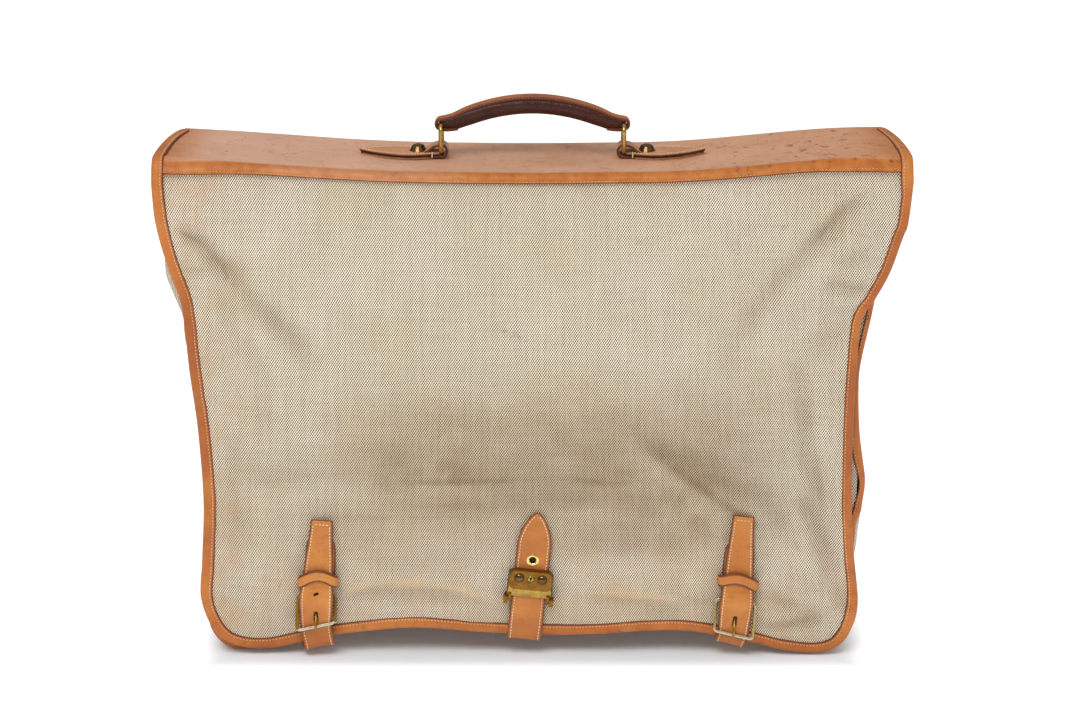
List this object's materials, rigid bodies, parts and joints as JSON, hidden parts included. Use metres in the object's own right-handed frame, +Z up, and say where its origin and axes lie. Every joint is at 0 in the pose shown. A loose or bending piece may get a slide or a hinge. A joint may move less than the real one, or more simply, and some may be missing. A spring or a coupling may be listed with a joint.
{
  "type": "suitcase",
  "caption": "Soft canvas and leather suitcase with a full front flap, buckled side straps, a hinged strap lock and a leather carrying handle on rings.",
  "frame": {"origin": "centre of the bounding box at the floor", "axes": "+Z up, -Y the front with the flap, +X to the right seen from the front"},
  "size_m": [0.595, 0.1272, 0.4563],
  "materials": {
    "canvas": "matte woven ecru canvas with dark flecks, aged",
    "lining_cloth": "plain cotton lining",
    "tan_leather": "satin vegetable-tanned leather, stitched",
    "top_leather": "satin tan leather, faded and freckled",
    "dark_leather": "worn dark brown leather",
    "brass": "worn brass with bright edges",
    "board": "pressed fibre board",
    "cord": "cotton rope filler"
  },
  "bodies": {
    "bag": {"front_panel": "canvas", "back_panel": "canvas", "gusset_left": "canvas", "gusset_right": "canvas", "base_panel": "tan_leather", "base_board": "board", "lining": "lining_cloth", "front_edge_binding": "tan_leather", "back_edge_binding": "tan_leather", "back_strip": "top_leather", "back_fold": "top_leather", "strap_foot_left": "tan_leather", "strap_foot_centre": "tan_leather", "strap_foot_right": "tan_leather"},
    "top": {"top_leather": "top_leather", "top_board": "board", "top_binding_left": "tan_leather", "top_binding_right": "tan_leather", "front_fold": "top_leather", "lug_left": "tan_leather", "lug_right": "tan_leather", "lug_rivet_left": "brass", "lug_rivet_right": "brass", "lug_washer_left": "brass", "lug_washer_right": "brass"},
    "flap": {"flap_canvas": "canvas", "flap_lining": "lining_cloth", "flap_binding": "tan_leather", "flap_header": "top_leather", "chape_left": "tan_leather", "chape_right": "tan_leather", "keeper_left": "tan_leather", "keeper_right": "tan_leather", "lock_base": "brass", "lock_pin_left": "brass", "lock_pin_right": "brass"},
    "ring_left": {"ring_left": "brass"},
    "ring_right": {"ring_right": "brass"},
    "handle": {"handle_strap": "tan_leather", "handle_grip": "dark_leather", "handle_core": "cord"},
    "buckle_left": {"buckle_left": "brass"},
    "buckle_right": {"buckle_right": "brass"},
    "prong_left": {"prong_left": "brass"},
    "prong_right": {"prong_right": "brass"},
    "billet_left": {"billet_left": "tan_leather"},
    "billet_right": {"billet_right": "tan_leather"},
    "billet_centre": {"billet_centre": "tan_leather", "eyelet_upper": "brass", "eyelet_lower": "brass"},
    "lock_cover": {"lock_cover": "brass", "cover_rivet_left": "brass", "cover_rivet_right": "brass"},
    "lock_plug": {"lock_plug": "brass"}
  },
  "joints": [
    {"name": "top_hinge", "type": "hinge", "parent": "bag", "child": "top", "pos_m": [0, 0.057, 0.407], "axis": [-1, 0, 0], "range_deg": [0, 100], "deforming": ["back_fold"]},
    {"name": "flap_hinge", "type": "hinge", "parent": "top", "child": "flap", "pos_m": [0, -0.045, 0.407], "axis": [-1, 0, 0], "range_deg": [0, 150], "deforming": ["front_fold"]},
    {"name": "ring_left_swing", "type": "hinge", "parent": "top", "child": "ring_left", "pos_m": [-0.0725, 0.007, 0.41264], "axis": [0, 1, 0], "range_deg": [-50, 50]},
    {"name": "ring_right_swing", "type": "hinge", "parent": "top", "child": "ring_right", "pos_m": [0.0725, 0.007, 0.41264], "axis": [0, 1, 0], "range_deg": [-50, 50]},
    {"name": "handle_swing", "type": "hinge", "parent": "ring_left", "child": "handle", "pos_m": [-0.0725, 0.007, 0.43384], "axis": [0, 1, 0], "range_deg": [-50, 50]},
    {"name": "buckle_left_swing", "type": "hinge", "parent": "flap", "child": "buckle_left", "pos_m": [-0.1762, -0.0521, 0.0525], "axis": [-0.9995, 0, 0.0332], "range_deg": [0, 90]},
    {"name": "prong_left_swing", "type": "hinge", "parent": "buckle_left", "child": "prong_left", "pos_m": [-0.1762, -0.0521, 0.0525], "axis": [-0.9995, 0, 0.0332], "range_deg": [0, 30]},
    {"name": "billet_left_bend", "type": "hinge", "parent": "bag", "child": "billet_left", "pos_m": [-0.1777, -0.0561, 0.00722], "axis": [0.9995, 0, -0.0332], "range_deg": [0, 85], "deforming": ["billet_left"]},
    {"name": "buckle_right_swing", "type": "hinge", "parent": "flap", "child": "buckle_right", "pos_m": [0.166, -0.0521, 0.0485], "axis": [-0.9968, 0, 0.0802], "range_deg": [0, 90]},
    {"name": "prong_right_swing", "type": "hinge", "parent": "buckle_right", "child": "prong_right", "pos_m": [0.166, -0.0521, 0.0485], "axis": [-0.9968, 0, 0.0802], "range_deg": [0, 30]},
    {"name": "billet_right_bend", "type": "hinge", "parent": "bag", "child": "billet_right", "pos_m": [0.16278, -0.0561, 0.00853], "axis": [0.9968, 0, -0.0802], "range_deg": [0, 85], "deforming": ["billet_right"]},
    {"name": "billet_centre_bend", "type": "hinge", "parent": "bag", "child": "billet_centre", "pos_m": [-0.00722, -0.0524, 0.01587], "axis": [0.9945, 0, -0.1045], "range_deg": [0, 85], "deforming": ["billet_centre", "eyelet_upper", "eyelet_lower"]},
    {"name": "lock_cover_swing", "type": "hinge", "parent": "flap", "child": "lock_cover", "pos_m": [-0.00344, -0.057, 0.05178], "axis": [0.9945, 0, -0.1045], "range_deg": [0, 100]},
    {"name": "lock_plug_turn", "type": "hinge", "parent": "lock_cover", "child": "lock_plug", "pos_m": [-0.00146, -0.057, 0.07067], "axis": [0, -1, 0], "range_deg": [0, 90]}
  ],
  "couplings": [
    {"joint": "ring_right_swing", "follows": "ring_left_swing", "ratio": 1},
    {"joint": "handle_swing", "follows": "ring_left_swing", "ratio": -1}
  ]
}
